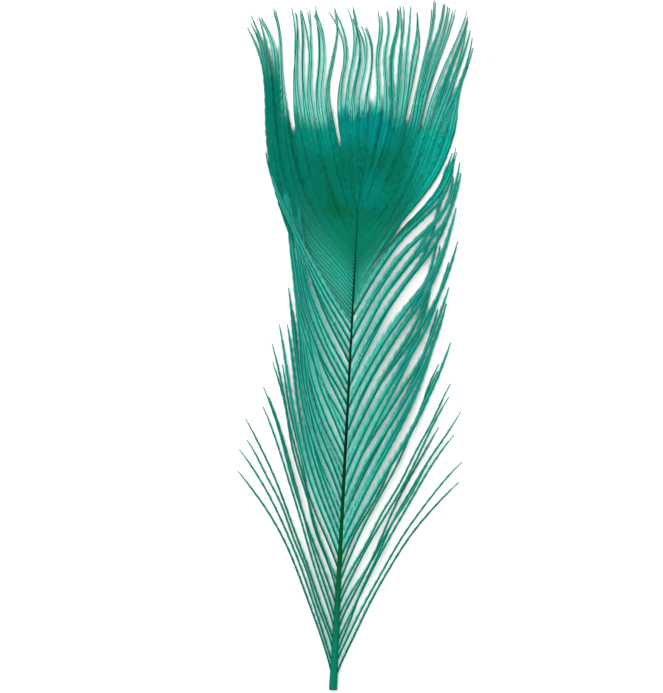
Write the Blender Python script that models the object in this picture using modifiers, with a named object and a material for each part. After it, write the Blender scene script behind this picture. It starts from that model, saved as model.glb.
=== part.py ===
"""Peacock eye feather, dyed teal, lying face up on a surface.

The shaft runs along +Y with its flat underside on z = 0, and the cut end of the
quill is at the lowest y. Barbs stand on both sides of it: single herl barbs on
the thick end, then the vane, then the eye barbs that end in the crown. Each
barb is a plane curve seen from above, given by its length and by the angles it
makes with the shaft on its way out, and it arches a little off the surface.
Barbs that lie too close to be single solids are a thin sheet through them all.
"""
import math

import bmesh
import bpy
import numpy as np

MM = 0.001

# ---------------------------------------------------------------- dimensions
FEATHER_LENGTH = 300 * MM        # cut end of the quill to the highest crown tip
RACHIS_LENGTH = 211 * MM         # cut end to the tip of the rachis, inside the eye
CUT_END_Y = -FEATHER_LENGTH / 2

# Width of the shaft at distances from the cut end, both in millimetres.
SHAFT_STATIONS = (0, 27, 44, 56, 118, 161, 205, 211)
SHAFT_WIDTHS = (3.7, 3.1, 2.5, 2.1, 1.45, 1.1, 0.5, 0.3)
SHAFT_RINGS = 26
FLAT_DEPTH = 0.8                 # axis height over radius, which leaves a flat underside

GAP = 0.3 * MM                   # clearance between neighbouring solids
SHEET_THICKNESS = 1.2 * MM
SHEET_TIP_Z = 0.75 * MM          # mid-height of a sheet where its tips touch down
SHEET_ARCH = 4.5 * MM            # how far a sheet rises between shaft and tips
HERL_RADIUS = 0.6 * MM           # a herl barb with its barbules
HERL_TIP_RADIUS = 0.3 * MM
HERL_TIP_Z = 0.4 * MM
HERL_ARCH = 3.0 * MM
HERL_POINTS = 14
HERL_COUNT = 10                  # on each side
HERL_FIRST_ROOT = 8              # mm from the cut end
HERL_LAST_ROOT = 53

# Parts of a barb's length at which its angle to the shaft is given below.
ANGLE_STATIONS = (0.0, 0.15, 0.45, 0.75, 1.0)

# Guide barbs: root in mm from the cut end, length in mm, angles in degrees away
# from the shaft. Every other barb is blended from the two guides around it.
LEFT_GUIDES = (
    (8, 98, (20, 22, 26, 34, 44)),
    (58, 98, (24, 26, 21, 14, 14)),
    (104, 88, (26, 28, 20, 14, 10)),
    (157, 80, (31, 35, 29, 22, 16)),
    (168, 130, (34, 38, 28, 6, 14)),
    (182, 121, (40, 41, 25, -1, 14)),
    (200, 101, (36, 22, 6, -2, 8)),
    (211, 86, (2, 1, 0, 0, 1)),
)
RIGHT_GUIDES = (
    (8, 98, (20, 22, 26, 34, 44)),
    (58, 98, (23, 27, 24, 16, 14)),
    (104, 88, (24, 31, 27, 18, 12)),
    (165, 80, (33, 41, 34, 24, 14)),
    (176, 122, (38, 42, 25, 6, 10)),
    (190, 116, (42, 34, 16, 6, 8)),
    (202, 101, (32, 18, 8, 4, 4)),
    (211, 86, (2, 1, 0, 0, 1)),
)

# Sheets: name, first and last root in mm, rows along the barbs, rows across.
LEFT_SHEETS = (
    ("lower_vane_left", 59.0, 102.0, 12, 5),
    ("upper_vane_left", 106.0, 156.0, 12, 6),
    ("eye_barbs_left", 160.0, 210.8, 18, 14),
)
RIGHT_SHEETS = (
    ("lower_vane_right", 59.0, 102.0, 12, 5),
    ("upper_vane_right", 106.0, 163.0, 12, 7),
    ("eye_barbs_right", 167.0, 210.8, 18, 13),
)


# ---------------------------------------------------------------- materials
def make_material(name, colour, roughness, metallic=0.0):
    """A Principled material with the part's own colour and gloss."""
    material = bpy.data.materials.new(name)
    material.use_nodes = True
    shader = material.node_tree.nodes["Principled BSDF"]
    shader.inputs["Base Color"].default_value = (*colour, 1.0)
    shader.inputs["Roughness"].default_value = roughness
    shader.inputs["Metallic"].default_value = metallic
    return material


# ---------------------------------------------------------------- barb curves
def shaft_half_width(root):
    """Half the shaft's width in metres, root mm above the cut end."""
    return np.interp(root, SHAFT_STATIONS, SHAFT_WIDTHS) / 2 * MM


def barb_curve(guides, side, root, clearance, points):
    """Points (x, y) of one barb seen from above, from its root to its tip."""
    roots = [guide[0] for guide in guides]
    length = np.interp(root, roots, [guide[1] for guide in guides]) * MM
    angles = [
        np.interp(root, roots, [guide[2][k] for guide in guides])
        for k in range(len(ANGLE_STATIONS))
    ]
    middles = (np.arange(points - 1) + 0.5) / (points - 1)
    heading = np.radians(np.interp(middles, ANGLE_STATIONS, angles))
    step = length / (points - 1)
    out = np.concatenate([[0.0], np.cumsum(np.sin(heading) * step)])
    up = np.concatenate([[0.0], np.cumsum(np.cos(heading) * step)])
    x = side * (shaft_half_width(root) + clearance + out)
    y = CUT_END_Y + root * MM + up
    return x, y


def arch_height(along, root_z, tip_z, rise):
    """Height above the surface at a share of the way from root to tip."""
    return root_z * (1 - along) + tip_z * along + rise * math.sin(math.pi * along)


# ---------------------------------------------------------------- pieces
def add_to(collection, name, data, material):
    """An object with one material, in the given collection."""
    item = bpy.data.objects.new(name, data)
    if material:
        data.materials.append(material)
    collection.objects.link(item)
    return item


def tapered_tube(name, centres, radii, sides_step):
    """A curve through the centres, as thick as each radius, with filled caps."""
    curve = bpy.data.curves.new(name, "CURVE")
    curve.dimensions = "3D"
    curve.bevel_depth = max(radii)
    curve.bevel_resolution = sides_step
    curve.use_fill_caps = True
    line = curve.splines.new("POLY")
    line.points.add(len(centres) - 1)
    for point, centre, radius in zip(line.points, centres, radii):
        point.co = (*centre, 1.0)
        point.radius = radius / max(radii)
    return curve


def make_shaft(parts, cutters, material):
    """Quill and rachis in one taper, with the underside cut flat at z = 0."""
    stations = np.linspace(0, RACHIS_LENGTH / MM, SHAFT_RINGS)
    radii = [shaft_half_width(station) for station in stations]
    centres = [
        (0.0, CUT_END_Y + station * MM, FLAT_DEPTH * radius)
        for station, radius in zip(stations, radii)
    ]
    curve = tapered_tube("shaft_curve", centres, radii, 4)
    source = add_to(parts, "shaft_curve", curve, None)
    bpy.context.view_layer.update()
    evaluated = source.evaluated_get(bpy.context.evaluated_depsgraph_get())
    mesh = bpy.data.meshes.new_from_object(evaluated)
    bpy.data.objects.remove(source)

    body = bmesh.new()
    body.from_mesh(mesh)
    bmesh.ops.remove_doubles(body, verts=body.verts, dist=0.001 * MM)
    body.to_mesh(mesh)
    body.free()
    shaft = add_to(parts, "shaft", mesh, material)
    mesh.shade_smooth()
    mesh.set_sharp_from_angle(angle=math.radians(40))

    width = 4 * SHAFT_WIDTHS[0] * MM
    bpy.ops.mesh.primitive_cube_add(size=1, location=(0, 0, -width / 2))
    cutter = bpy.context.object
    cutter.name = "underside_cutter"
    cutter.scale = (width, FEATHER_LENGTH * 1.2, width)
    for owner in list(cutter.users_collection):
        owner.objects.unlink(cutter)
    cutters.objects.link(cutter)
    cutter.hide_render = True
    cutter.display_type = "WIRE"
    cut = shaft.modifiers.new("flat_underside", "BOOLEAN")
    cut.operation = "DIFFERENCE"
    cut.object = cutter


def make_herl(parts, name, guides, side, root, material):
    """One loose barb near the quill, as thick as its barbules stand out."""
    clearance = GAP + HERL_RADIUS
    x, y = barb_curve(guides, side, root, clearance, HERL_POINTS)
    along = np.linspace(0, 1, HERL_POINTS)
    root_z = shaft_half_width(root)
    centres = [
        (x[k], y[k], arch_height(along[k], root_z, HERL_TIP_Z, HERL_ARCH))
        for k in range(HERL_POINTS)
    ]
    radii = HERL_RADIUS + (HERL_TIP_RADIUS - HERL_RADIUS) * along**2
    curve = tapered_tube(name, centres, [float(radius) for radius in radii], 1)
    add_to(parts, name, curve, material)


def make_sheet(parts, name, guides, side, first, last, rows, columns, material):
    """A thin arched sheet through the barbs whose roots lie from first to last."""
    grid = bmesh.new()
    bmesh.ops.create_grid(grid, x_segments=columns, y_segments=rows, size=0.5)
    curves = {}
    for vertex in grid.verts:
        across = vertex.co.x + 0.5
        along = vertex.co.y + 0.5
        column = round(across * columns)
        if column not in curves:
            root = first + (last - first) * column / columns
            curves[column] = (root, *barb_curve(guides, side, root, GAP, rows + 1))
        root, x, y = curves[column]
        row = round(along * rows)
        root_z = shaft_half_width(root) + SHEET_THICKNESS / 2
        vertex.co.x = x[row]
        vertex.co.y = y[row]
        vertex.co.z = arch_height(row / rows, root_z, SHEET_TIP_Z, SHEET_ARCH)
    bmesh.ops.recalc_face_normals(grid, faces=grid.faces)
    if sum(face.normal.z for face in grid.faces) < 0:
        bmesh.ops.reverse_faces(grid, faces=grid.faces)
    mesh = bpy.data.meshes.new(name)
    grid.to_mesh(mesh)
    grid.free()
    mesh.shade_smooth()
    sheet = add_to(parts, name, mesh, material)
    wall = sheet.modifiers.new("thickness", "SOLIDIFY")
    wall.thickness = SHEET_THICKNESS
    wall.offset = 0.0


# ---------------------------------------------------------------- assembly
def main():
    for item in list(bpy.data.objects):
        bpy.data.objects.remove(item, do_unlink=True)
    parts = bpy.data.collections.new("peacock_feather")
    cutters = bpy.data.collections.new("cutters")
    bpy.context.scene.collection.children.link(parts)
    bpy.context.scene.collection.children.link(cutters)

    keratin = make_material("shaft_keratin", (0.004, 0.09, 0.05), 0.38)
    make_shaft(parts, cutters, keratin)

    sides = (
        ("left", -1, LEFT_GUIDES, LEFT_SHEETS),
        ("right", 1, RIGHT_GUIDES, RIGHT_SHEETS),
    )
    for side_name, side, guides, sheets in sides:
        herl_colour = make_material("herl_" + side_name, (0.0, 0.19, 0.14), 0.6)
        roots = np.linspace(HERL_FIRST_ROOT, HERL_LAST_ROOT, HERL_COUNT)
        for number, root in enumerate(roots, start=1):
            name = f"herl_{side_name}_{number:02d}"
            make_herl(parts, name, guides, side, root, herl_colour)
        for name, first, last, rows, columns in sheets:
            colour = make_material(name, (0.0, 0.22, 0.17), 0.65)
            make_sheet(parts, name, guides, side, first, last, rows, columns, colour)


main()
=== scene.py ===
# %% [markdown]
# # A dyed peacock eye feather
#
# A tail covert of a peacock is one shaft with barbs on both sides. Every barb is
# itself a small feather: a stiff rib, the ramus, with two fringes of barbules.
# On the thick end the barbs are loose herls, higher up they make an open vane,
# and round the eye their barbules lie so close that the barbs become a web. Past
# the web the barbs run on as the free tips of the crown. This feather was dyed
# teal, so all of it is one family of greens and blues.
#
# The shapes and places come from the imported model. This script keeps its box and
# gives every barb its ramus and its barbules.

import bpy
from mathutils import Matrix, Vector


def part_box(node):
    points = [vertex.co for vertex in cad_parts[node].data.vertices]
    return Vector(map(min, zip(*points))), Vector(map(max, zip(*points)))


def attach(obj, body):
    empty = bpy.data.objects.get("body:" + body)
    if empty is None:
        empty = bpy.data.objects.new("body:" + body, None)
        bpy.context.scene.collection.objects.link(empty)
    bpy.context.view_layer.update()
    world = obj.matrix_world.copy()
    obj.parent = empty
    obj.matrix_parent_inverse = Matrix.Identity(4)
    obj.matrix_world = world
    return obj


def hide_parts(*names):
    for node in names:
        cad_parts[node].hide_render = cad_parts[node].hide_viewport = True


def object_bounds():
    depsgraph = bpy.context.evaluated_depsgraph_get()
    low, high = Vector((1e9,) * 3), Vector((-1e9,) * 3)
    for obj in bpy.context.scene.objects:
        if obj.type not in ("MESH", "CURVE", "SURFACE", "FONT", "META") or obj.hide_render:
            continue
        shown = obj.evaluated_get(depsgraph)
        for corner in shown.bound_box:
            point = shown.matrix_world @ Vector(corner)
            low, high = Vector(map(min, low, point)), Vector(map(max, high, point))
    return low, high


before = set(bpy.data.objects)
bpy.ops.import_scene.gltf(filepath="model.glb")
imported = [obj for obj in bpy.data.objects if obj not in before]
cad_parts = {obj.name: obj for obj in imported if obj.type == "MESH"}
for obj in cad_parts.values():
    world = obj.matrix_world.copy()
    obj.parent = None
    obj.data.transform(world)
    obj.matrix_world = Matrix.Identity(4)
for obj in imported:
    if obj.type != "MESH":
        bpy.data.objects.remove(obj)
cad_box = [list(corner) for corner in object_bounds()]

import math
from collections import namedtuple

import bmesh
import bpy
import numpy as np

print("nodes in the frame:", len(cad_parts))

# %% [markdown]
# ## Sizes
#
# Everything on a feather is measured from the cut end of its quill, so the script
# does the same: a place is a number of millimetres along the shaft, and it only
# becomes metres when a mesh is written.

# %% Sizes from the frame
MM = 0.001
shaft_low, shaft_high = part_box("shaft")
CUT_END = shaft_low.y / MM
RACHIS_LENGTH = (shaft_high.y - shaft_low.y) / MM
FEATHER_LENGTH = (cad_box[1][1] - cad_box[0][1]) / MM

# Width of the shaft at distances from the cut end.
SHAFT_STATIONS = (0, 27, 44, 56, 118, 161, 205, 211)
SHAFT_WIDTHS = (3.7, 3.1, 2.5, 2.1, 1.45, 1.1, 0.5, 0.3)


def shaft_half_width(root):
    """Half the shaft's width at a distance from the cut end."""
    return np.interp(root, SHAFT_STATIONS, SHAFT_WIDTHS) / 2


print(f"feather {FEATHER_LENGTH:.0f} mm long, shaft {RACHIS_LENGTH:.0f} mm")

# %% [markdown]
# ## Colours and nodes
#
# Colours are written the way a colour chart gives them, as sRGB hex, and one
# function turns them to the linear values that the shader works in. A second
# small function adds any node, sets its values and links its inputs, so that a
# material below reads as a list of what it is made of.


# %% Colour and node helpers
def colour(code):
    """An sRGB hex colour as linear red, green and blue, with an alpha of 1."""
    shares = [int(code[k:k + 2], 16) / 255 for k in (0, 2, 4)]
    linear = [s / 12.92 if s <= 0.04045 else ((s + 0.055) / 1.055) ** 2.4 for s in shares]
    return (*linear, 1.0)


def node(tree, kind, inputs=None, stops=None, **settings):
    """Adds a node. An input is a plain value or a socket to link, and stops fill a ramp."""
    made = tree.nodes.new(kind)
    for name, value in settings.items():
        setattr(made, name, value)
    for place, value in (inputs or {}).items():
        if isinstance(value, bpy.types.NodeSocket):
            tree.links.new(value, made.inputs[place])
        else:
            made.inputs[place].default_value = value
    if stops:
        ramp = made.color_ramp.elements
        ramp[0].position, ramp[0].color = stops[0][0], colour(stops[0][1])
        ramp[-1].position, ramp[-1].color = stops[-1][0], colour(stops[-1][1])
        for position, code in stops[1:-1]:
            ramp.new(position).color = colour(code)
    return made


def new_material(name, **shader_values):
    """A material with its shader, whose plain values are set by socket name."""
    material = bpy.data.materials.new(name)
    material.use_nodes = True
    shader = material.node_tree.nodes["Principled BSDF"]
    for socket, value in shader_values.items():
        shader.inputs[socket.replace("_", " ")].default_value = value
    return material, material.node_tree, shader


def grain(tree, place, sizes, detail=2.0):
    """Noise whose blobs are about these many millimetres along X, Y and Z."""
    scales = [1 / (size * MM) for size in sizes]
    stretched = node(tree, "ShaderNodeMapping", {"Vector": place, "Scale": scales})
    noise = {"Vector": stretched.outputs[0], "Scale": 1.0, "Detail": detail}
    return node(tree, "ShaderNodeTexNoise", noise).outputs[0]


print("0C8C75 is", [round(value, 3) for value in colour("0C8C75")])

# %% [markdown]
# ## Shaft finish
#
# The shaft is keratin, the stuff of horn and nails: smooth, a little glossy, with
# fine fibres along it. Dye goes deep green into the hollow quill and turns nearly
# black on the solid rachis, where the natural brown lies under it. A ramp along
# the shaft carries that change, and noise stretched along Y draws the fibres.


# %% Shaft materials
def dyed_shaft_keratin():
    """Polished horn-like keratin: soft gloss, long fibres, darker up the shaft."""
    material, tree, shader = new_material(
        "dyed_shaft_keratin", IOR=1.55, Specular_IOR_Level=0.02)
    place = node(tree, "ShaderNodeTexCoord").outputs["Object"]
    axes = node(tree, "ShaderNodeSeparateXYZ", {0: place})
    ends = {"Value": axes.outputs["Y"], "From Min": CUT_END * MM,
            "From Max": (CUT_END + RACHIS_LENGTH) * MM}
    height = node(tree, "ShaderNodeMapRange", ends)
    dye = node(tree, "ShaderNodeValToRGB", {0: height.outputs[0]}, stops=(
        (0.0, "046551"), (0.1, "04674E"), (0.19, "045638"), (0.28, "004A20"),
        (0.38, "003815"), (0.48, "00240F"), (0.7, "002315"), (0.85, "002E21"),
        (1.0, "004434")))
    fibres = grain(tree, place, (0.25, 9.0, 0.25))
    blotches = grain(tree, place, (1.5, 6.0, 1.5))
    streaked = node(tree, "ShaderNodeMapRange", {"Value": fibres, "To Min": 0.72, "To Max": 1.3})
    toned = node(tree, "ShaderNodeHueSaturation",
                 {"Color": dye.outputs[0], "Value": streaked.outputs[0]})
    worn = node(tree, "ShaderNodeMapRange", {"Value": blotches, "To Min": 0.3, "To Max": 0.5})
    ridges = node(tree, "ShaderNodeBump", {"Height": fibres, "Strength": 0.25, "Distance": 0.1 * MM})
    tree.links.new(toned.outputs[0], shader.inputs["Base Color"])
    tree.links.new(worn.outputs[0], shader.inputs["Roughness"])
    tree.links.new(ridges.outputs[0], shader.inputs["Normal"])
    return material


def quill_pith():
    """The dry, crumbly inner skin of the cut quill: pale, matte and pitted."""
    material, tree, shader = new_material("quill_pith", Roughness=0.85)
    place = node(tree, "ShaderNodeTexCoord").outputs["Object"]
    pits = grain(tree, place, (0.3, 0.3, 0.3), detail=4.0)
    tint = node(tree, "ShaderNodeValToRGB", {0: pits},
                stops=((0.3, "7FBFA8"), (0.7, "D8EFE2")))
    crumbs = node(tree, "ShaderNodeBump", {"Height": pits, "Strength": 0.6, "Distance": 0.1 * MM})
    tree.links.new(tint.outputs[0], shader.inputs["Base Color"])
    tree.links.new(crumbs.outputs[0], shader.inputs["Normal"])
    return material


shaft_keratin = dyed_shaft_keratin()
pith = quill_pith()
print("shaft finishes:", shaft_keratin.name, pith.name)

# %% [markdown]
# ## Barb finishes
#
# Each point of a barb carries three numbers in an attribute called growth. X is
# the way out from the ramus to the tip of a barbule, Y the way along the barb,
# and Z a tone that the whole barb shares. A fourth number, dye, tells how deep
# the colour is. The ramus is smooth keratin again, only darker. The barbules are
# matte: they are finer than a hair, so where they stand alone their tips are
# painted pale mint, partly for thinner dye and partly as painted light shining
# through them, and where they lie on each other the colour stays deep.

# %% Ramus and barbule materials
# The pale codes towards the tips are partly thinner dye and partly painted light shining through the
# barbules.
WASH_AND_PAINTED_GLOW = (0.0, 0.2, 0.55, 1.0)    # where on a barbule each of its four codes stands
STRANDS = (3.0, 14.0, 60.0)     # streaks across a barb, along it and from barb to barb


def growth_axes(tree):
    """The three numbers of growth as sockets: out, along and tone."""
    growth = node(tree, "ShaderNodeAttribute", attribute_name="growth")
    axes = node(tree, "ShaderNodeSeparateXYZ", {0: growth.outputs["Vector"]})
    return [axes.outputs[k] for k in range(3)]


def varied(tree, dye, tone, noise, spread):
    """The dye made lighter or darker by its barb's tone and by noise."""
    lit = node(tree, "ShaderNodeMath", {0: tone, 1: noise}, operation="ADD")
    value = node(tree, "ShaderNodeMapRange", {"Value": lit.outputs[0], "From Max": 2.0,
                                              "To Min": 1 - spread, "To Max": 1 + spread})
    return node(tree, "ShaderNodeHueSaturation", {"Color": dye, "Value": value.outputs[0]})


def dyed_ramus(name, root_code, tip_code):
    """The rib of a barb: dyed keratin with a dull shine."""
    material, tree, shader = new_material(name, IOR=1.55, Specular_IOR_Level=0.03)
    _, along, tone = growth_axes(tree)
    place = node(tree, "ShaderNodeTexCoord").outputs["Object"]
    fade = node(tree, "ShaderNodeValToRGB", {0: along}, stops=((0.1, root_code), (0.9, tip_code)))
    flecks = grain(tree, place, (0.5, 0.5, 0.5))
    toned = varied(tree, fade.outputs[0], tone, flecks, 0.35)
    dull = node(tree, "ShaderNodeMapRange", {"Value": flecks, "To Min": 0.35, "To Max": 0.6})
    tree.links.new(toned.outputs[0], shader.inputs["Base Color"])
    tree.links.new(dull.outputs[0], shader.inputs["Roughness"])
    return material


def dyed_barbules(name, codes, deep):
    """Barbules: matte, with tips painted pale for thinner dye and for light shining through, and
    deep where dye says so.

    Four codes run from the ramus to the tips. Deep is a code, or a function that
    adds nodes to a tree and gives back a colour socket.
    """
    material, tree, shader = new_material(name, Roughness=0.75, Specular_IOR_Level=0.02)
    out, along, tone = growth_axes(tree)
    place = node(tree, "ShaderNodeTexCoord").outputs["Object"]
    depth = node(tree, "ShaderNodeAttribute", attribute_name="dye").outputs["Fac"]
    reach = node(tree, "ShaderNodeMath", {0: out}, operation="ABSOLUTE").outputs[0]
    # Painted light: the colour pales towards the barbule tips as if lit through them, besides the
    # thinner dye.
    fade = node(tree, "ShaderNodeValToRGB", {0: reach}, stops=tuple(zip(WASH_AND_PAINTED_GLOW, codes)))
    full = deep(tree, place) if callable(deep) else colour(deep)
    mix = node(tree, "ShaderNodeMix", {0: depth, 6: fade.outputs[0], 7: full}, data_type="RGBA")
    run = node(tree, "ShaderNodeCombineXYZ", {0: out, 1: along, 2: tone})
    strands = node(tree, "ShaderNodeMapping", {"Vector": run.outputs[0], "Scale": STRANDS})
    streaks = node(tree, "ShaderNodeTexNoise", {"Vector": strands.outputs[0], "Scale": 1.0})
    toned = varied(tree, mix.outputs[2], tone, streaks.outputs[0], 0.24)
    tree.links.new(toned.outputs[0], shader.inputs["Base Color"])
    return material


# The last codes of the barbule sets are pale mint: thinner dye, and painted light shining through
# the thin barbules.
vane_ramus = dyed_ramus("dyed_vane_ramus", "00604E", "007462")
vane_barbules = dyed_barbules(
    "dyed_vane_barbules", ("058875", "0FB09D", "74E8D8", "C4FFF6"), "04907F")
herl_barbules = dyed_barbules(
    "dyed_herl_barbules", ("047566", "129684", "58C2B2", "A4E6DA"), "03806F")
print("barb finishes:", vane_ramus.name, vane_barbules.name, herl_barbules.name)

# %% [markdown]
# ## Eye finish
#
# On a wild feather the eye is a set of shining rings. Dye drowns the shine but
# not the pattern: a darker heart with a bluish lobe, a deep green crescent under
# it, a green ring, and a bright patch above. Each of these is an ellipse laid
# over the web at its place on the feather, with its edge worn by noise. The
# colours are on Object coordinates, because the pattern crosses all the barbs.

# %% Eye pattern
# Name, centre x and distance from the cut end, half width, half height, softness
# of the edge, strength, colour. Later ones lie over earlier ones.
EYE_SPOTS = (
    ("lower_web", (0.0, 176), (24, 30), 0.4, 0.8, "189F87"),
    ("bright_flank", (38.0, 232), (18, 34), 0.5, 0.9, "12AA99"),
    ("web_middle", (0.0, 222), (24, 32), 0.4, 0.9, "036F59"),
    ("shoulder", (-17.0, 243), (11, 10), 0.6, 0.9, "018C7B"),
    ("patch_above", (2.0, 247.5), (14, 14.5), 0.4, 0.95, "018B85"),
    ("ring", (0.0, 222), (15.0, 17.0), 0.3, 0.6, "04704C"),
    ("crescent", (-0.8, 214.0), (13.2, 12.4), 0.35, 0.65, "055F30"),
    ("crescent_foot", (-8.5, 209.5), (4.5, 3.5), 0.6, 0.5, "055C22"),
    ("heart", (0.3, 221.5), (11.6, 11.8), 0.16, 1.0, "01725F"),
    ("heart_shade", (-2.5, 224), (6.5, 5.5), 0.6, 0.6, "00624F"),
    ("heart_lobe", (6.3, 217), (5.5, 7.5), 0.6, 0.9, "008279"),
    ("under_heart", (1.0, 197), (11.0, 10.0), 0.6, 0.8, "067F59"),
    ("bright_locks", (26.0, 278), (26.0, 26.0), 0.5, 0.9, "0FA895"),
)
WEB_DYE = "047461"      # the web between the spots
EDGE_GRAIN = 4.0        # size of the noise that wears their edges
EDGE_WANDER = 3.0       # width of the band that an edge wanders in


def spot_share(tree, place, centre, radii, softness):
    """One inside an ellipse on the web and nothing outside it."""
    x, station = centre
    middle = (-x * MM, -(CUT_END + station) * MM, 0.0)
    moved = node(tree, "ShaderNodeVectorMath", {0: place, 1: middle}, operation="ADD")
    sizes = (1 / (radii[0] * MM), 1 / (radii[1] * MM), 0.0)
    scaled = node(tree, "ShaderNodeVectorMath", {0: moved.outputs[0], 1: sizes},
                  operation="MULTIPLY")
    distance = node(tree, "ShaderNodeVectorMath", {0: scaled.outputs[0]}, operation="LENGTH")
    ends = {"Value": distance.outputs["Value"], "From Min": 1 - softness,
            "From Max": 1 + softness, "To Min": 1.0, "To Max": 0.0}
    return node(tree, "ShaderNodeMapRange", ends, interpolation_type="SMOOTHSTEP").outputs[0]


def eye_pattern(tree, place):
    """The drowned pattern of the wild eye, as a colour socket."""
    wander = node(tree, "ShaderNodeMapping",
                  {"Vector": place, "Scale": (1 / (EDGE_GRAIN * MM),) * 3})
    noise = node(tree, "ShaderNodeTexNoise", {"Vector": wander.outputs[0], "Scale": 1.0})
    shift = node(tree, "ShaderNodeVectorMath",
                 {0: noise.outputs["Color"], 1: (0.5, 0.5, 0.5)}, operation="SUBTRACT")
    small = node(tree, "ShaderNodeVectorMath",
                 {0: shift.outputs[0], "Scale": EDGE_WANDER * MM}, operation="SCALE")
    worn = node(tree, "ShaderNodeVectorMath", {0: place, 1: small.outputs[0]}, operation="ADD")
    dye = colour(WEB_DYE)
    for label, centre, radii, softness, strength, code in EYE_SPOTS:
        share = spot_share(tree, worn.outputs[0], centre, radii, softness)
        partly = node(tree, "ShaderNodeMath", {0: share, 1: strength}, operation="MULTIPLY")
        mix = node(tree, "ShaderNodeMix", {0: partly.outputs[0], 6: dye, 7: colour(code)},
                   data_type="RGBA", label=label)
        dye = mix.outputs[2]
    return dye


eye_ramus = dyed_ramus("dyed_eye_ramus", "036C5A", "035E4E")
# The eye's last barbule codes are pale too: thinner dye, and painted light shining through the
# barbules.
eye_barbules = dyed_barbules(
    "dyed_eye_barbules", ("16A894", "62D8C6", "A8F2E6", "DCFCF6"), eye_pattern)
print("eye spots:", len(EYE_SPOTS))

# %% [markdown]
# ## The shaft
#
# The quill is a thin hollow tube and the rachis above it is solid, and both grew
# as one taper. A cone primitive with equal ends is a rod, and cuts across it give
# rings whose points can be set to the width at their station. The same rod, thin
# and with fewer sides, later becomes every ramus. The flat underside is the belly
# of each ring held at the surface. The cut end is inset and pushed in, which
# leaves the wall of the quill standing round its hollow. An inset follows the
# normals, and points that a loop has moved leave old ones behind, so they are
# worked out again first.

# %% Rod helper and shaft
QUILL_WALL = 0.35       # thickness of the quill's wall
QUILL_HOLLOW = 6.0      # how far the eye can see into the cut end
RIM_ROUNDING = 0.06     # on both edges of the wall
RIM_ANGLE = 50          # degrees, past which an edge of the cut end is rounded
FLAT_DEPTH = 0.8        # height of the shaft's axis over its half width
SHAFT_SIDES = 28
SHAFT_RINGS = 84


def ringed_rod(sides, rings):
    """A closed rod of radius 1 from z = 0 to z = 1, cut into rings."""
    rod = bmesh.new()
    bmesh.ops.create_cone(rod, cap_ends=True, segments=sides, radius1=1, radius2=1, depth=1)
    bmesh.ops.translate(rod, verts=rod.verts, vec=(0, 0, 0.5))
    long_edges = [e for e in rod.edges if abs(e.verts[0].co.z - e.verts[1].co.z) > 0.5]
    bmesh.ops.subdivide_edges(rod, edges=long_edges, cuts=rings - 1, use_grid_fill=True)
    return rod


def finish_mesh(body, name, materials):
    """Writes a bmesh to an object at the origin, with its materials."""
    mesh = bpy.data.meshes.new(name)
    body.to_mesh(mesh)
    body.free()
    for material in materials:
        mesh.materials.append(material)
    made = bpy.data.objects.new(name, mesh)
    bpy.context.scene.collection.objects.link(made)
    return made


def make_shaft():
    """Quill and rachis in one, with the hollow of the quill at the cut end."""
    rod = ringed_rod(SHAFT_SIDES, SHAFT_RINGS)
    for vertex in rod.verts:
        station = vertex.co.z * RACHIS_LENGTH
        half = shaft_half_width(station)
        height = max(0.0, (FLAT_DEPTH - vertex.co.y) * half)
        vertex.co = (vertex.co.x * half * MM, (CUT_END + station) * MM, height * MM)
    rod.normal_update()
    cut_face = min(rod.faces, key=lambda face: face.calc_center_median().y)
    bmesh.ops.inset_region(rod, faces=[cut_face], thickness=QUILL_WALL * MM, use_even_offset=True)
    hollow = bmesh.ops.extrude_discrete_faces(rod, faces=[cut_face])["faces"]
    bmesh.ops.translate(rod, verts=hollow[0].verts, vec=(0, QUILL_HOLLOW * MM, 0))
    hollow[0].material_index = 1
    rod.normal_update()
    just_inside = (CUT_END + 0.001) * MM
    rim = [e for e in rod.edges if e.calc_face_angle(0) > math.radians(RIM_ANGLE)
           and max(v.co.y for v in e.verts) < just_inside]
    bmesh.ops.bevel(rod, geom=rim, affect="EDGES", offset=RIM_ROUNDING * MM, segments=2,
                    profile=0.5, material=-1)
    shaft = finish_mesh(rod, "feather_shaft", [shaft_keratin, pith])
    shaft.data.shade_smooth()
    shaft.data.set_sharp_from_angle(angle=math.radians(40))
    return shaft


shaft = make_shaft()
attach(shaft, "root")
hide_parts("shaft")
print("shaft faces:", len(shaft.data.polygons))

# %% [markdown]
# ## How a barb runs
#
# Seen from above, a barb leaves the shaft at an angle and changes its heading on
# the way out. Seven headings at fixed shares of its length describe it well. Guide
# barbs are given that way, about two dozen on each side, and every barb is blended
# from the two guides around its root. Adding up short steps along the heading
# turns it into a path, which keeps the barb's length whatever its bends are.
#
# Only the three guides on the right at 60, 100 and 140 mm have all their numbers
# given one by one. The other seven below 157 mm were set with five headings, which a
# program then spread over the seven stations. Those from 157 mm up follow the
# output of a curve fit with changes of a few degrees. That is not how they should
# have been made: whoever reuses this script should set them anew by eye.

# %% Guide barbs
HEADING_STATIONS = (0.0, 0.15, 0.4, 0.55, 0.7, 0.85, 1.0)

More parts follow.
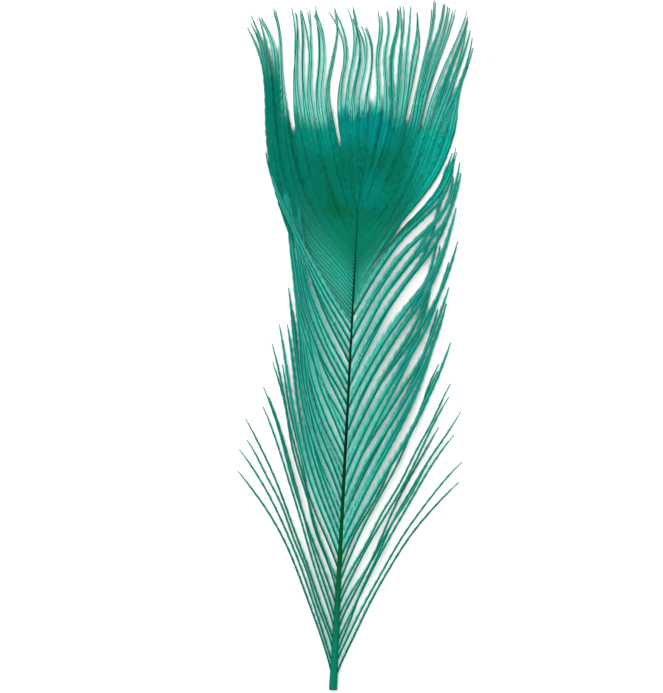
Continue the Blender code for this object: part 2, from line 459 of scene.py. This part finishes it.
# Root, length and headings in degrees away from the shaft. Past 160 mm there is a
# guide for every lock of the crown, because each lock sways in its own way.
LEFT_GUIDES = (
    (8, 100, (20, 22, 25, 29, 34, 40, 46)),
    (30, 102, (22, 23, 21, 21, 20, 23, 28)),
    (60, 102, (24, 26, 19, 15, 11, 12, 14)),
    (100, 98, (26, 28, 16, 10, 5, 5, 7)),
    (140, 88, (30, 32, 24, 17, 10, 8, 8)),
    (157, 88, (33, 34, 31, 29, 27, 22, 15)),
    (160, 127, (40, 44, 23, 16, 5, 6, 13)),
    (170, 134, (42, 47, 22, 9, 2, 12, 36)),
    (176, 129, (42, 46, 22, 10, 4, 12, 42)),
    (180, 124, (41, 42, 21, 11, 5, 6, 40)),
    (185, 120, (42, 40, 18, 12, 9, 5, 18)),
    (189, 114, (40, 34, 15, 13, 5, 1, 18)),
    (192.5, 109, (38, 30, 15, 13, 6, 2, 11)),
    (196, 106, (36, 25, 15, 17, -3, 4, 15)),
    (199, 100, (34, 22, 14, 13, -4, 9, 22)),
    (201.5, 99, (31, 20, 14, 12, -7, -4, 30)),
    (204, 95, (22, 15, 16, 11, -9, -2, 20)),
    (206, 92, (20, 11, 10, 0, -11, 12, 32)),
    (207.5, 91, (12, 8, 8, 0, -11, 6, 36)),
    (209, 86, (6, 4, 8, 0, -12, 12, 28)),
    (210.2, 80, (0, 0, 5, 1, -11, -4, 26)),
    (211, 79, (-6, -6, -6, -6, -8, 8, 24)),
)
RIGHT_GUIDES = (
    (8, 100, (20, 22, 25, 29, 34, 40, 46)),
    (30, 102, (22, 24, 24, 24, 24, 26, 30)),
    (60, 102, (20, 22, 25, 24, 20, 16, 14)),
    (100, 100, (20, 24, 30, 30, 22, 14, 9)),
    (140, 96, (20, 25, 31, 36, 28, 15, 6)),
    (162, 84, (26, 27, 34, 46, 46, 18, 0)),
    (167, 82, (29, 28, 33, 44, 40, 18, 8)),
    (170.5, 82, (30, 28, 33, 43, 38, 20, 8)),
    (172.5, 111, (24, 27, 40, 31, 14, 10, 15)),
    (177, 118, (37, 35, 25, 17, 13, 17, 9)),
    (182.5, 118, (38, 34, 22, 15, 17, 21, 11)),
    (187, 117, (41, 33, 22, 13, 17, 17, 17)),
    (191, 115, (43, 33, 17, 8, 20, 19, 12)),
    (194.5, 112, (39, 30, 19, 10, 16, 19, 14)),
    (197.5, 109, (38, 30, 19, 8, 12, 17, 2)),
    (200, 107, (36, 29, 18, 6, 10, 18, 0)),
    (202.5, 103, (35, 28, 17, 7, 9, 13, 0)),
    (204, 95, (33, 26, 17, 8, 10, 8, -24)),
    (205.5, 94, (31, 25, 15, 7, 1, 5, -3)),
    (207, 97, (29, 24, 14, 3, 1, 4, 3)),
    (208.2, 94, (25, 22, 14, -4, -1, 11, -9)),
    (209.2, 90, (20, 19, 12, -5, -8, 12, -8)),
    (210, 87, (16, 15, 8, 0, -7, 11, -17)),
    (211, 82, (3, 4, 6, 0, -3, 4, -6)),
)
STEPS = 48              # steps along a barb, and rings on its ramus
SHARES = np.linspace(0, 1, STEPS + 1)
MIDDLES = (np.arange(STEPS) + 0.5) / STEPS
ROOT_INSET = 0.8        # where a barb starts, over the shaft's half width
ARCH_SKEW = 0.8         # below 1, the arch is highest in the half next to the shaft


def ease(value, low, high):
    """Rises smoothly from 0 at low to 1 at high."""
    share = np.clip((value - low) / (high - low), 0, 1)
    return share * share * (3 - 2 * share)


def barb_paths(guides, side, roots, rise, unrest, extra_heading, length_change, rng):
    """A path for each root: (barbs, steps + 1, 3) points in millimetres.

    Rise is how high the barbs arch, and unrest how much each one wanders. Extra
    degrees and millimetres come on top of the guides' headings and lengths.
    """
    places = [guide[0] for guide in guides]
    lengths = np.interp(roots, places, [guide[1] for guide in guides]) + length_change
    table = [np.interp(roots, places, [guide[2][k] for guide in guides])
             for k in range(len(HEADING_STATIONS))]
    headings = np.array([np.interp(MIDDLES, HEADING_STATIONS, row) for row in np.transpose(table)])
    waves = rng.uniform(1.5, 3.5, (len(roots), 1))
    phases = rng.uniform(0, 2 * math.pi, (len(roots), 1))
    sizes = unrest * rng.normal(0, 1.6, (len(roots), 1))
    headings = headings + extra_heading + sizes * np.sin(2 * math.pi * waves * MIDDLES + phases)
    step = lengths[:, None] / STEPS
    angles = np.radians(headings)
    across = np.cumsum(np.sin(angles) * step, axis=1)
    up = np.cumsum(np.cos(angles) * step, axis=1)
    start = shaft_half_width(roots)[:, None]
    paths = np.zeros((len(roots), STEPS + 1, 3))
    paths[:, :, 0] = side * (ROOT_INSET * start + np.pad(across, ((0, 0), (1, 0))))
    paths[:, :, 1] = CUT_END + roots[:, None] + np.pad(up, ((0, 0), (1, 0)))
    lifts = rise * (1 + 0.1 * unrest * rng.uniform(-1, 1, (len(roots), 1)))
    arch = np.sin(math.pi * SHARES ** ARCH_SKEW)
    tips = rng.uniform(0.3, 1.2, (len(roots), 1))
    paths[:, :, 2] = start * (1 - SHARES) + tips * SHARES + lifts * arch
    return paths


print("guides:", len(LEFT_GUIDES), "left,", len(RIGHT_GUIDES), "right")

# %% [markdown]
# ## Ramus and barbules
#
# The ramus is the ringed rod bent along its path. A barbule is thinner than any
# picture of the whole feather can show, so here each one stands for a small tuft:
# a flat three-sided spike, wide at the ramus and sharp at its tip, planted every
# fifth of a millimetre. Spikes could be instances of one object, but an export
# drops instances, so numpy copies the spike's corners to every place at once and
# joins the copies into one mesh. The spike has four faces, because there are
# hundreds of thousands of them.

# %% Templates and copies
SPIKE_SPACING = 0.22    # between neighbouring tufts of barbules
SPIKE_WIDTH = 0.4       # where the tufts make a web
LOOSE_WIDTH = 0.2       # where they stand alone
SPIKE_RIDGE = 0.14      # height of a tuft over its width
RAMUS_SIDES = 6
UP = np.array([0.0, 0.0, 1.0])


def as_arrays(body):
    """Corners and triangles of a small bmesh, which is then freed."""
    bmesh.ops.triangulate(body, faces=body.faces)
    body.verts.index_update()
    corners = np.array([vertex.co[:] for vertex in body.verts])
    triangles = np.array([[vertex.index for vertex in face.verts] for face in body.faces])
    body.free()
    return corners, triangles


def spike():
    """A closed spike of length 1 along z, flat below and ridged above."""
    body = bmesh.new()
    bmesh.ops.create_cone(body, cap_ends=True, segments=3, radius1=1, radius2=0, depth=1)
    bmesh.ops.translate(body, verts=body.verts, vec=(0, 0, 0.5))
    bmesh.ops.scale(body, verts=body.verts, vec=(1 / math.sqrt(3), SPIKE_RIDGE, 1))
    return as_arrays(body)


SPIKE = spike()
RAMUS = as_arrays(ringed_rod(RAMUS_SIDES, STEPS))


def unit(vectors):
    """The same directions with a length of 1."""
    return vectors / np.linalg.norm(vectors, axis=-1, keepdims=True)


def bent_rami(paths, radii):
    """The rod bent along every path: corners (barbs, corners, 3) and their step."""
    corners = RAMUS[0]
    ring = np.rint(corners[:, 2] * STEPS).astype(int)
    forward = unit(np.gradient(paths, axis=1))
    sideways = unit(np.cross(forward, UP))
    down = np.cross(forward, sideways)
    thick = radii[:, ring, None]
    bent = (paths[:, ring] + thick * corners[:, 0, None] * sideways[:, ring]
            + thick * corners[:, 1, None] * down[:, ring])
    return bent, ring


print("spike faces:", len(SPIKE[1]), "ramus triangles:", len(RAMUS[1]))

# %% [markdown]
# ## Growing a piece
#
# A piece is a group of barbs in one mesh. The function below bends the rami,
# plants a spike on both sides at every station, and writes corners, triangles,
# growth, dye and a UV map. On the map each barb has a row of its own, with the
# ramus along its middle and the barbules above and below, so a baked picture of
# the dye keeps the barbs apart. Barbules that meet the shaft stop at its side.

# %% Grow barbs
BARBULE_SLANT = (34, 2)         # degrees away from the ramus, and their spread
BARBULE_DROOP = (-0.04, 0.04)   # slope of a tuft, and its spread
FIRST_TUFT = -0.4               # from the root of the barb
BARE_TIP = 0.3                  # of the ramus, past its last tuft
RAGGEDNESS = 0.12               # waves in the outline of a fringe
SHAFT_EDGE = 0.85               # where barbules stop, over the shaft's half width
PAST_AXIS = 3.0                 # how far they may cross the axis above the shaft
LOWEST = 0.03                   # clearance over the floor

# Paths, then for each barb and step the radius of its ramus, the reach of its
# fringes away from the quill and towards it, and the depth of the dye. Tones
# have one number for each barb.
Barbs = namedtuple("Barbs", "paths radii distal proximal dye tones")


def plant_spikes(barbs, row, side, rng):
    """Corner points, growth and dye of all the spikes on one barb."""
    path = barbs.paths[row]
    steps = np.linalg.norm(np.diff(path, axis=0), axis=1)
    travelled = np.concatenate([[0], np.cumsum(steps)])
    stops = np.arange(FIRST_TUFT, travelled[-1] - BARE_TIP, SPIKE_SPACING)
    count = len(stops)
    along = np.maximum(stops, 0) / travelled[-1]
    at = np.stack([np.interp(stops, travelled, path[:, k]) for k in range(3)], 1)
    heading = np.gradient(path, axis=0)
    forward = unit(np.stack([np.interp(stops, travelled, heading[:, k]) for k in range(3)], 1))
    inward = -side * unit(np.cross(forward, UP))
    depth = np.interp(along, SHARES, barbs.dye[row])
    corners = SPIKE[0]
    points, growth = [], []
    for sign, reaches in ((1, barbs.distal[row]), (-1, barbs.proximal[row])):
        slant = np.radians(rng.normal(*BARBULE_SLANT, count))[:, None]
        droop = rng.normal(*BARBULE_DROOP, count)[:, None]
        waves = np.sin(stops * rng.uniform(0.9, 1.6) + rng.uniform(0, 6))
        ragged = 1 + RAGGEDNESS * waves
        reach = np.interp(along, SHARES, reaches) * ragged * rng.uniform(0.95, 1.05, count)
        length = reach[:, None] / np.sin(slant)
        lead = unit(np.cos(slant) * forward + sign * np.sin(slant) * inward + droop * UP)
        width = LOOSE_WIDTH + (SPIKE_WIDTH - LOOSE_WIDTH) * depth[:, None]
        wide = unit(np.cross(UP, lead)) * width * np.minimum(1, 0.5 + length / 2)
        tall = np.cross(lead, wide)
        points.append(at[:, None] + corners[:, 0, None] * wide[:, None]
                      + corners[:, 1, None] * tall[:, None]
                      + corners[:, 2, None] * (lead * length)[:, None])
        out = np.broadcast_to(sign * corners[:, 2], (count, len(corners)))
        growth.append(np.stack([out, np.repeat(along[:, None], len(corners), 1)], 2))
    points, growth = np.concatenate(points), np.concatenate(growth)
    station = points[:, :, 1] - CUT_END
    edge = np.where(station < RACHIS_LENGTH, SHAFT_EDGE * shaft_half_width(station), -PAST_AXIS)
    points[:, :, 0] = side * np.maximum(side * points[:, :, 0], edge)
    return points, growth, np.repeat(np.tile(depth, 2), len(corners))


def write_mesh(name, points, triangles, kinds, spots, attributes):
    """An object from arrays, with a material number and UV corners for each triangle."""
    mesh = bpy.data.meshes.new(name)
    mesh.vertices.add(len(points))
    mesh.vertices.foreach_set("co", (points * MM).ravel())
    mesh.loops.add(triangles.size)
    mesh.loops.foreach_set("vertex_index", triangles.ravel())
    mesh.polygons.add(len(triangles))
    mesh.polygons.foreach_set("loop_start", 3 * np.arange(len(triangles)))
    mesh.polygons.foreach_set("material_index", kinds)
    mesh.update(calc_edges=True)
    for label, values in attributes.items():
        kind, field = ("FLOAT", "value") if values.ndim == 1 else ("FLOAT_VECTOR", "vector")
        mesh.attributes.new(label, kind, "POINT").data.foreach_set(field, values.ravel())
    layer = mesh.uv_layers.new(name="OFBake", do_init=False)
    layer.uv.foreach_set("vector", np.clip(spots, 0, 1)[triangles.ravel()].ravel())
    made = bpy.data.objects.new(name, mesh)
    bpy.context.scene.collection.objects.link(made)
    return made


def ramus_spots(share, around, middle, row_height):
    """Places on the map for a ramus: a thin strip along the middle of its row."""
    return np.stack([0.01 + 0.98 * share + 0.004 * np.sin(around),
                     middle + 0.07 * np.cos(around) * row_height], 1)


def tuft_spots(out, along, count, middle, row_height):
    """Places on the map for the tufts of one barb, above and below its ramus."""
    shape = np.tile(SPIKE[0], (count, 1))
    beside = np.repeat(np.where(np.arange(count) < count / 2, 1, -1), len(SPIKE[0]))
    return np.stack([0.01 + 0.97 * along + 0.002 * shape[:, 0] + 0.006 * np.abs(out),
                     middle + (beside * (0.1 + 0.02 * shape[:, 1]) + 0.36 * out) * row_height], 1)


def grow_barbs(name, barbs, side, materials, seed):
    """One mesh of barbs, each with its ramus and its barbules."""
    rng = np.random.default_rng(seed)
    rows = len(barbs.paths)
    rami, ring = bent_rami(barbs.paths, barbs.radii)
    share = ring / STEPS
    around = np.arctan2(RAMUS[0][:, 1], RAMUS[0][:, 0])
    points, triangles, growth, dye, spots, kinds = [], [], [], [], [], []
    total = 0
    for row in range(rows):
        middle = (row + 0.5) / rows
        tone = barbs.tones[row]
        rib_growth = np.stack([0 * share, share, 0 * share + tone], 1)
        tufts, tuft_growth, tuft_dye = plant_spikes(barbs, row, side, rng)
        count, corners = tufts.shape[:2]
        tuft_growth = np.concatenate(
            [tuft_growth, np.full((count, corners, 1), tone)], 2).reshape(-1, 3)
        starts = total + len(share) + corners * np.arange(count)
        triangles += [total + RAMUS[1], (starts[:, None, None] + SPIKE[1]).reshape(-1, 3)]
        kinds += [np.zeros(len(RAMUS[1]), int), np.ones(count * len(SPIKE[1]), int)]
        points += [rami[row], tufts.reshape(-1, 3)]
        growth += [rib_growth, tuft_growth]
        dye += [barbs.dye[row][ring], tuft_dye]
        spots += [ramus_spots(share, around, middle, 1 / rows),
                  tuft_spots(tuft_growth[:, 0], tuft_growth[:, 1], count, middle, 1 / rows)]
        total += len(share) + count * corners
    points, triangles, growth, dye, spots, kinds = map(
        np.concatenate, (points, triangles, growth, dye, spots, kinds))
    points[:, 2] = np.maximum(points[:, 2], LOWEST)
    made = write_mesh(name, points, triangles, kinds, spots, {"growth": growth, "dye": dye})
    for material in materials:
        made.data.materials.append(material)
    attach(made, "root")
    print(f"{name}: {rows} barbs, {len(triangles)} triangles")
    return made


# %% [markdown]
# ## Herls and vanes
#
# The lowest barbs are herls, ten a side, each free of the others. Above them the
# vane barbs stand about 4.8 mm apart on the shaft, and on the right they tend to
# lie in pairs. Their outer barbules reach across most of the gap to the next
# ramus, and the ones towards the quill are short. Farther out the fringes close
# in on the ramus, so the barbs lie there as a dark bundle. Each run of numbers in
# a Barbs below says how wide or how deeply dyed something is at shares of the way
# to the tip.

# %% Grow the herls and the vanes
HERL_COUNT = 10
HERL_ROOTS = (8, 53)                # the lowest and the highest
PAIR_SHIFT = 1.3                    # what every second right vane barb is moved up
PAIR_TURN = 1.2                     # degrees that the barbs of a pair turn together
FULLNESS = {-1: 0.93, 1: 1.1}       # outer fringes of the vane, left and right
SIDES = (("left", -1, LEFT_GUIDES), ("right", 1, RIGHT_GUIDES))


def along_barbs(paths, shares, widths):
    """The same run of values, in millimetres, for every barb of a piece."""
    return np.tile(np.interp(SHARES, shares, widths), (len(paths), 1))


def grow_herls(label, side, guides):
    """The loose barbs on one side of the bare shaft, each a piece of its own."""
    rng = np.random.default_rng(11 + side)
    roots = np.linspace(*HERL_ROOTS, HERL_COUNT) + rng.uniform(-0.8, 0.8, HERL_COUNT)
    extra = rng.normal(0, 2.0, (HERL_COUNT, 1))
    change = rng.uniform(-5, 2, HERL_COUNT)
    paths = barb_paths(guides, side, roots, 3.0, 1.4, extra, change, rng)
    for number in range(HERL_COUNT):
        name = f"herl_{label}_{number + 1:02d}"
        path = paths[number:number + 1]
        barbs = Barbs(path,
                      along_barbs(path, (0, 0.04, 0.6, 1), (0.5, 0.38, 0.32, 0.18)),
                      along_barbs(path, (0, 0.1, 0.5, 0.9, 1), (1.2, 1.4, 0.8, 0.6, 0.3)),
                      along_barbs(path, (0, 0.1, 0.9, 1), (0.3, 0.45, 0.5, 0.25)),
                      along_barbs(path, (0, 0.25, 0.6, 0.9, 1), (0, 0.1, 0.7, 0.7, 0.3)),
                      rng.uniform(0, 1, 1))
        herl = grow_barbs("barbs_" + name, barbs, side, [vane_ramus, herl_barbules], number)
        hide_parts(name)


def grow_vane(label, side, guides, part, first, last, count, seed):
    """The lower or the upper vane on one side, from its first root to its last."""
    rng = np.random.default_rng(seed)
    roots = np.linspace(first, last, count) + rng.uniform(-0.5, 0.5, count)
    extra = rng.normal(0, 1.2, (count, 1))
    if side > 0:
        roots += PAIR_SHIFT * (np.arange(count) % 2)
        extra[::2] += PAIR_TURN
        extra[1::2] -= PAIR_TURN
    change = rng.uniform(-6, 3, count)
    paths = barb_paths(guides, side, roots, 4.0, 1.0, extra, change, rng)
    outer = along_barbs(paths, (0, 0.3, 0.6, 0.92, 1), (2.2, 2.3, 1.4, 0.8, 0.3))
    barbs = Barbs(paths,
                  along_barbs(paths, (0, 0.04, 0.5, 1), (0.45, 0.38, 0.32, 0.16)),
                  FULLNESS[side] * outer,
                  along_barbs(paths, (0, 0.3, 0.7, 0.92, 1), (0.5, 0.8, 0.9, 0.6, 0.3)),
                  along_barbs(paths, (0, 0.3, 0.55, 0.9, 1), (0.15, 0.25, 0.8, 0.8, 0.3)),
                  rng.uniform(0, 1, count))
    name = f"{part}_vane_{label}"
    vane = grow_barbs("barbs_" + name, barbs, side, [vane_ramus, vane_barbules], seed)
    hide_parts(name)


for label, side, guides in SIDES:
    grow_herls(label, side, guides)
    grow_vane(label, side, guides, "lower", 59, 102, 10, 30 + side)
    grow_vane(label, side, guides, "upper", 106.5, 156 if side < 0 else 162, 12, 40 + side)

# %% [markdown]
# ## The eye and its crown
#
# In the eye the barbs stand closer towards the tip of the shaft, and their
# barbules overlap into a web. Above the web the barbs are free. Handling draws
# them together into locks of a few barbs with white between, and a few of them
# stray and cross. The locks are gathered sideways only, so that each barb keeps
# its height and the tips stay ragged. Where two barbs have come unhooked a slit
# runs down into the web, with short barbules on both its sides.

# %% Grow the eye
# Sizes of the locks from the outermost barb to the innermost.
LEFT_LOCKS = (9, 3, 3, 3, 2, 3, 2, 2, 3, 2, 2, 3, 2, 2)
RIGHT_LOCKS = (3, 6, 3, 3, 3, 3, 2, 2, 3, 1, 2, 2, 2, 2, 2, 3)

# The top of the web at places across the feather, and how far it takes to fade.
TOP_ACROSS = (-48, -37, -35, -27, -19, -12, -9, 5, 10, 16, 27, 45)
TOP_HEIGHT = (268, 266, 250, 246, 246, 249, 254, 255, 251, 249, 245, 248)
TOP_FADE = (20, 20, 12, 9, 7, 5, 3, 2, 12, 18, 24, 26)

# Barbs outside the slit, its width, and where along the barbs it opens and closes.
LEFT_SLITS = ((30, 0.3, 0.3, 1.3), (15, 0.2, 0.5, 1.3))
RIGHT_SLITS = ((3, 0.4, 0.16, 0.9), (18, 0.4, 0.46, 1.3), (28, 0.4, 0.44, 1.3))
SLIT_OPENS = 0.08       # over this share of a barb's length
SLIT_CLOSES = 0.12
SLIT_SPREAD = 3         # barbs over which the push beside a slit dies down
SLIT_FRINGE = 0.35      # barbules that are left standing in a slit

LOCK_LINES_FROM = 215           # the middle line of a lock is worked out from here up
GATHER_HEIGHTS = (243, 268)     # where locks begin to draw together, and where they have
ROOT_CROWDING = 1.6             # above 1, the roots crowd towards the tip of the shaft
CROWN_FROM = 0.55               # share of a barb's length where its lock begins to sway
STRAY_SHARE = 0.12              # of the barbs leave their lock
STRAY_TURN = 12                 # degrees
DYE_STOPS = 2.2                 # how far below the top of the web its dye ends
THIN_ROOTS = (168, 188)         # the web starts thin up to the first, fully past the second


def web_share(paths, shift):
    """One in the web and nothing past its top, which shifts a little from barb to barb."""
    across, height = paths[:, :, 0], paths[:, :, 1] - CUT_END
    top = np.interp(across, TOP_ACROSS, TOP_HEIGHT) + shift
    fade = np.interp(across, TOP_ACROSS, TOP_FADE)
    return 1 - ease(height, top - 3, top + fade)


def gather(paths, locks, tightness):
    """Draws the barbs of each lock together above the web, sideways only."""
    begin, full = (CUT_END + height for height in GATHER_HEIGHTS)
    heights = np.linspace(CUT_END + LOCK_LINES_FROM, CUT_END + FEATHER_LENGTH, 60)
    first = 0
    for size, tight in zip(locks, tightness):
        members = paths[first:first + size]
        middle = np.mean([np.interp(heights, m[:, 1], m[:, 0]) for m in members], axis=0)
        for member in members:
            pull = tight * ease(member[:, 1], begin, full)
            member[:, 0] += pull * (np.interp(member[:, 1], heights, middle) - member[:, 0])
        first += size


def distance_to(paths, other):
    """How far the points of some barbs lie from another barb, square to themselves."""
    gaps = np.array([np.interp(path[:, 1], other[:, 1], other[:, 0]) - path[:, 0]
                     for path in paths])
    return np.abs(gaps) * unit(np.gradient(paths, axis=1))[:, :, 1]


def open_slit(barbs, side, slit):
    """Pushes the barbs apart beside a slit and keeps their fringes out of it."""
    outer, width, first, last = slit
    paths = barbs.paths
    wide = ease(SHARES, first, first + SLIT_OPENS) * (1 - ease(SHARES, last - SLIT_CLOSES, last))
    order = np.arange(len(paths)) - outer + 0.5
    push = np.sign(order) * np.exp(-(np.abs(order) - 0.5) / SLIT_SPREAD) * width / 2
    inward = -side * unit(np.cross(np.gradient(paths, axis=1), UP))
    paths += inward * (push[:, None] * wide)[:, :, None]
    for fringes, members, edge in ((barbs.distal, slice(0, outer), outer - 1),
                                   (barbs.proximal, slice(outer, None), outer)):
        room = SLIT_FRINGE + distance_to(paths[members], paths[edge])
        kept = np.minimum(fringes[members], room)
        fringes[members] += np.sqrt(wide) * (kept - fringes[members])


def crown_headings(locks, rng):
    """Degrees that each barb turns besides its guides: with its lock, alone or astray."""
    count = sum(locks)
    crown = np.clip((MIDDLES - CROWN_FROM) / (1 - CROWN_FROM), 0, 1)
    bend = np.repeat(rng.normal(0, 1.0, len(locks)), locks)[:, None] * np.sin(2 * math.pi * crown)
    flare = np.repeat(rng.normal(0, 1.0, len(locks)), locks)[:, None] * crown
    own = rng.normal(0, 3.0, (count, 1)) * ease(MIDDLES, 0.6, 1)
    strays = rng.random(count) < STRAY_SHARE
    turns = rng.choice((-1, 1), (strays.sum(), 1)) * STRAY_TURN
    own[strays] += turns * ease(MIDDLES, 0.66, 0.9)
    return bend + flare + own


def eye_fringes(web, low):
    """Reach of the barbules away from the quill and towards it, in web and crown."""
    close = np.interp(SHARES, (0, 0.12, 0.4, 1), (1.9, 2.0, 2.6, 2.6))
    free = np.interp(SHARES, (0, 0.75, 0.92, 1), (1.15, 1.0, 0.6, 0.3))
    reach = (free + (close - free) * web) * (1 - 0.9 * ease(SHARES, 0.72, 1) * web)
    reach[-1] += 1.2 * web[-1]                              # the innermost closes the middle
    reach *= 1 - 0.4 * low
    quillward = reach.copy()
    quillward[:9] *= np.linspace(0.2, 0.9, 9)[:, None]      # the outermost stand more open
    return reach, quillward


def grow_eye(label, side, guides, first, locks, slits, depths, seed):
    """Web and crown on one side. Depths are the least and most dye in a lock's crown."""
    rng = np.random.default_rng(seed)
    count = sum(locks)
    share = np.linspace(0, 1, count)
    last = RACHIS_LENGTH - 0.4
    roots = first + (last - first) * (1 - (1 - share) ** ROOT_CROWDING)
    turned = crown_headings(locks, rng)
    change = rng.normal(0, 1.2, count)
    paths = barb_paths(guides, side, roots, 1.6, 0.4, turned, change, rng)
    gather(paths, locks, rng.uniform(0.5, 0.85, len(locks)))
    shift = rng.normal(0, 1.3, (count, 1))
    web, dyed_web = web_share(paths, shift), web_share(paths, shift - DYE_STOPS)
    thin, thick = THIN_ROOTS
    low = np.clip((thick - roots) / (thick - thin), 0, 1)[:, None] * (1 - ease(SHARES, 0.1, 0.42))
    reach, quillward = eye_fringes(web, low)
    depth = np.repeat(rng.uniform(*depths, len(locks)), locks)[:, None]
    depth[:locks[0]] = 0.95                                 # the outermost lock is dark
    dye = np.maximum(dyed_web, depth * (1 - 0.45 * ease(SHARES, 0.75, 1))) - 0.15 * low
    tones = np.clip(np.repeat(rng.uniform(0.3, 0.7, len(locks)), locks)
                    + rng.normal(0, 0.08, count), 0, 1)
    radii = along_barbs(paths, (0, 0.05, 0.5, 0.9, 1), (0.3, 0.17, 0.18, 0.2, 0.15))
    barbs = Barbs(paths, radii, reach, quillward, dye, tones)
    for slit in slits:
        open_slit(barbs, side, slit)
    name = f"eye_barbs_{label}"
    eye = grow_barbs("barbs_" + name, barbs, side, [eye_ramus, eye_barbules], seed)
    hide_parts(name)


grow_eye("left", -1, LEFT_GUIDES, 160, LEFT_LOCKS, LEFT_SLITS, (0.0, 0.4), 71)
grow_eye("right", 1, RIGHT_GUIDES, 167, RIGHT_LOCKS, RIGHT_SLITS, (0.1, 1.0), 72)

# %% [markdown]
# ## Floor, light and camera
#
# The feather lies on a plain pale floor under a wide soft light, so its shadows
# are faint. The camera looks straight down from far enough that the barbs keep
# their proportions, and it is turned by three degrees, because the feather leans.

# %% Stage
def make_floor():
    """A wide pale sheet under the feather."""
    body = bmesh.new()
    bmesh.ops.create_grid(body, x_segments=1, y_segments=1, size=4.0)
    material, _, shader = new_material("pale_floor", Roughness=0.9)
    shader.inputs["Base Color"].default_value = colour("FAFAF8")
    floor = finish_mesh(body, "floor", [material])


def make_light():
    """Even light from all round, and one broad lamp over the left shoulder."""
    world = bpy.data.worlds.new("studio")
    bpy.context.scene.world = world
    world.use_nodes = True
    world.node_tree.nodes["Background"].inputs["Color"].default_value = (1, 1, 1, 1)
    world.node_tree.nodes["Background"].inputs["Strength"].default_value = 1.0
    lamp = bpy.data.lights.new("softbox", "AREA")
    lamp.size = 1.2
    lamp.energy = 17
    softbox = bpy.data.objects.new("softbox", lamp)
    softbox.location = (-0.5, 0.35, 1.3)
    softbox.rotation_euler = (-softbox.location).to_track_quat("-Z", "Y").to_euler()
    bpy.context.scene.collection.objects.link(softbox)


def make_camera():
    """Straight down, with the shaft leaning three degrees to the right."""
    lens = bpy.data.cameras.new("camera")
    lens.lens = 100
    lens.sensor_width = 36
    lens.clip_end = 20
    camera = bpy.data.objects.new("camera", lens)
    seen = 302.6 * MM       # length of floor along the long side of the picture
    camera.location = (-8.4 * MM, -0.6 * MM, seen * lens.lens / lens.sensor_width)
    camera.rotation_euler = (0, 0, math.radians(2.97))
    bpy.context.scene.collection.objects.link(camera)
    bpy.context.scene.camera = camera


make_floor()
make_light()
make_camera()
bpy.context.scene.view_settings.view_transform = "Standard"

# %% [markdown]
# ## Size
#
# The box of the imported model is printed.

print("cad box:", cad_box)
